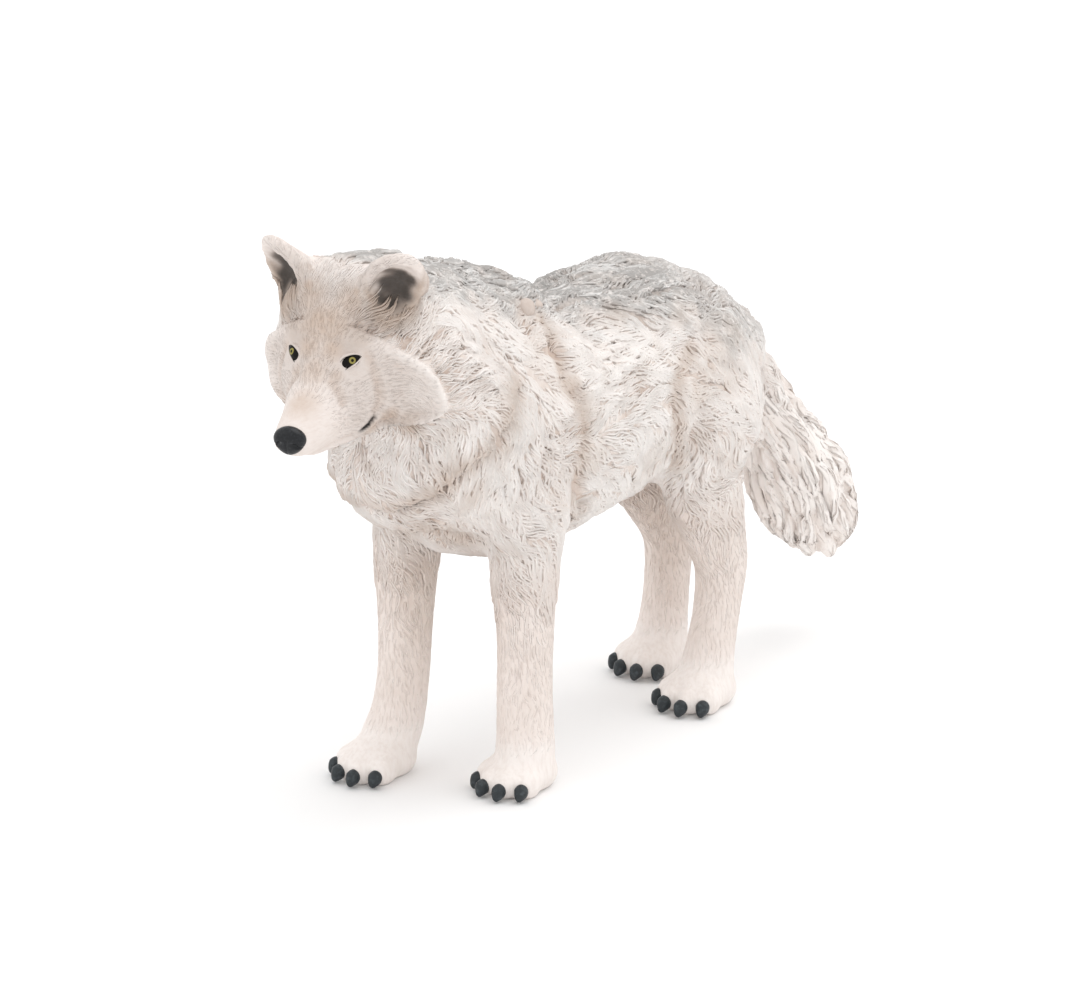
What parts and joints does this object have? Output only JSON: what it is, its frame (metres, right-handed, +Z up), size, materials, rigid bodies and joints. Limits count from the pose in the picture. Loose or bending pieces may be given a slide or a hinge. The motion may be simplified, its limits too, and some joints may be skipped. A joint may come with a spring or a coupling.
{
  "type": "wolf figurine",
  "caption": "Small painted moulded plastic figurine of an arctic wolf in mid stride, head low and turned to its left, tail down; a display toy that stands on its paws.",
  "frame": {"origin": "middle of the figure's bounding box on the ground it stands on", "axes": "+Z up, nose towards -Y, the wolf's left side towards +X"},
  "size_m": [0.0244, 0.1016, 0.0632],
  "materials": {
    "coat": "matt hand-painted pinkish white with a silver-grey saddle and beige-brown wash in the recesses",
    "claws": "satin dark slate paint",
    "nose": "semi-gloss black paint",
    "eyes": "painted olive-yellow iris with a black pupil and rim"
  },
  "bodies": {
    "root": {"head": "coat", "jaw": "coat", "neck": "coat", "trunk": "coat", "ear_left": "coat", "ear_right": "coat", "foreleg_left": "coat", "foreleg_right": "coat", "thigh_left": "coat", "thigh_right": "coat", "shank_left": "coat", "shank_right": "coat", "forepaw_left": "coat", "forepaw_right": "coat", "hindpaw_left": "coat", "hindpaw_right": "coat", "tail_root": "coat", "tail_brush": "coat", "forepaw_left_claw_1": "claws", "forepaw_left_claw_2": "claws", "forepaw_left_claw_3": "claws", "forepaw_left_claw_4": "claws", "forepaw_right_claw_1": "claws", "forepaw_right_claw_2": "claws", "forepaw_right_claw_3": "claws", "forepaw_right_claw_4": "claws", "hindpaw_left_claw_1": "claws", "hindpaw_left_claw_2": "claws", "hindpaw_left_claw_3": "claws", "hindpaw_left_claw_4": "claws", "hindpaw_right_claw_1": "claws", "hindpaw_right_claw_2": "claws", "hindpaw_right_claw_3": "claws", "hindpaw_right_claw_4": "claws", "nose": "nose", "eye_left": "eyes", "eye_right": "eyes"}
  },
  "joints": []
}
